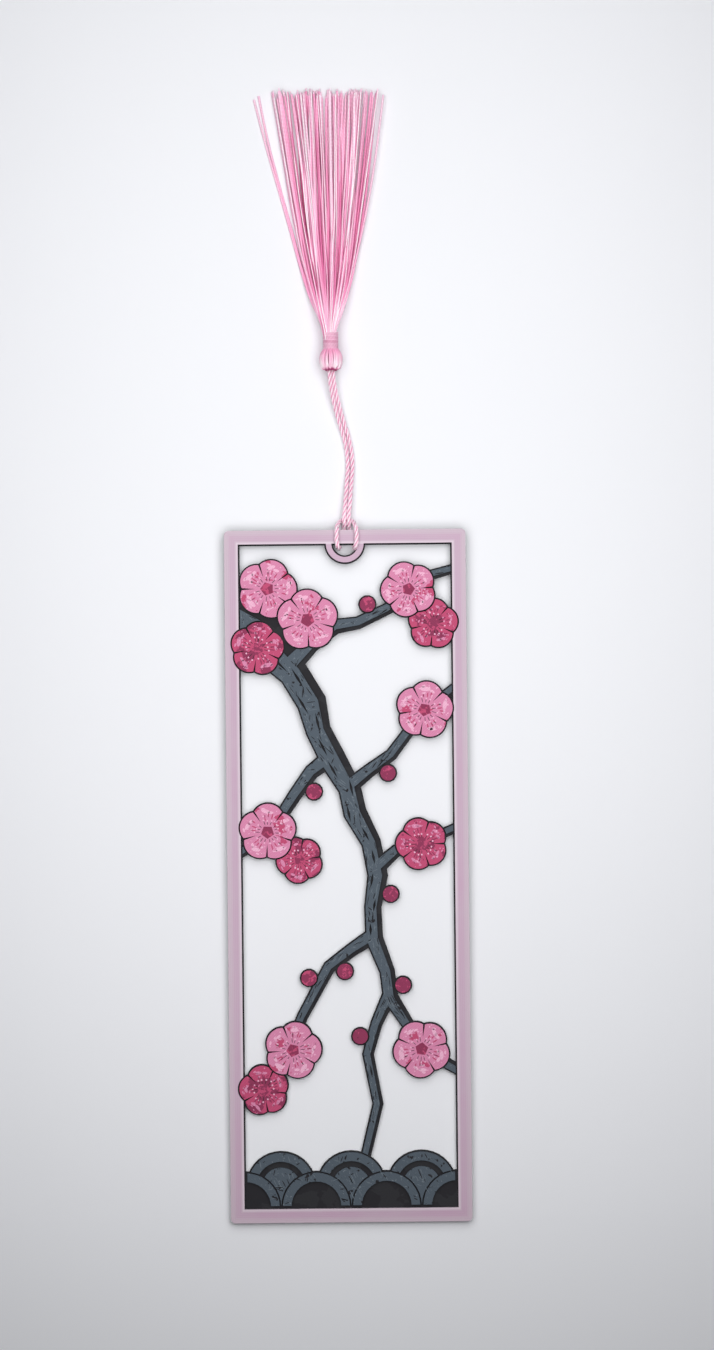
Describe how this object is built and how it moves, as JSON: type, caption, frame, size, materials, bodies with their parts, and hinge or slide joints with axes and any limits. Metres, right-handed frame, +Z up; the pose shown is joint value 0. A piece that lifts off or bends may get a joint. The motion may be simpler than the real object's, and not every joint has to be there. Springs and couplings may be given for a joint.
{
  "type": "bookmark",
  "caption": "Flat openwork printed bookmark with a blossom bough in a rectangular frame, and a silky tassel hitched through an eye under its top bar.",
  "frame": {"origin": "middle of the printed panel, half way through its thickness", "axes": "lying flat: +X across the panel, +Y along it towards the tassel, +Z up, out of the coloured face"},
  "size_m": [0.053, 0.2493, 0.005],
  "materials": {
    "print_black": "matte printed plastic with fine layer lines",
    "print_mauve": "matte printed plastic with fine layer lines",
    "print_grey": "matte printed plastic with fine layer lines",
    "print_rose": "matte printed plastic with fine layer lines",
    "print_pink": "matte printed plastic with fine layer lines",
    "print_deep_rose": "matte printed plastic with fine layer lines",
    "cord_pink": "silky twisted cord",
    "thread_pink": "silky lustrous thread"
  },
  "bodies": {
    "panel": {"base_frame": "print_black", "base_hanger": "print_black", "base_picture": "print_black", "frame_border": "print_mauve", "bark": "print_grey", "wave_scales": "print_grey", "petals_rose": "print_rose", "petals_pink": "print_pink", "flower_hearts": "print_deep_rose", "buds": "print_deep_rose", "cord_hitch": "cord_pink"},
    "cord_bend": {"cord_root": "cord_pink"},
    "cord": {"cord_leg_left": "cord_pink", "cord_leg_right": "cord_pink"},
    "tassel": {"loop_knot": "cord_pink", "tassel_head": "thread_pink", "neck_wrap": "thread_pink", "skirt_lower": "thread_pink", "skirt_middle": "thread_pink", "skirt_upper": "thread_pink", "stray_strands": "thread_pink"}
  },
  "joints": [
    {"name": "cord_lift", "type": "hinge", "parent": "panel", "child": "cord_bend", "pos_m": [0, 0.0791, -0.00035], "axis": [1, 0, 0], "range_deg": [-90, 150], "deforming": ["cord_root"]},
    {"name": "cord_swing", "type": "hinge", "parent": "cord_bend", "child": "cord", "pos_m": [0.00013, 0.0837, -0.00068], "axis": [0, 0, 1], "range_deg": [-60, 60], "deforming": ["cord_leg_left", "cord_leg_right"]},
    {"name": "tassel_swing", "type": "hinge", "parent": "cord", "child": "tassel", "pos_m": [-0.0026, 0.1109, 0.00052], "axis": [0, 0, 1], "range_deg": [-50, 50]}
  ]
}
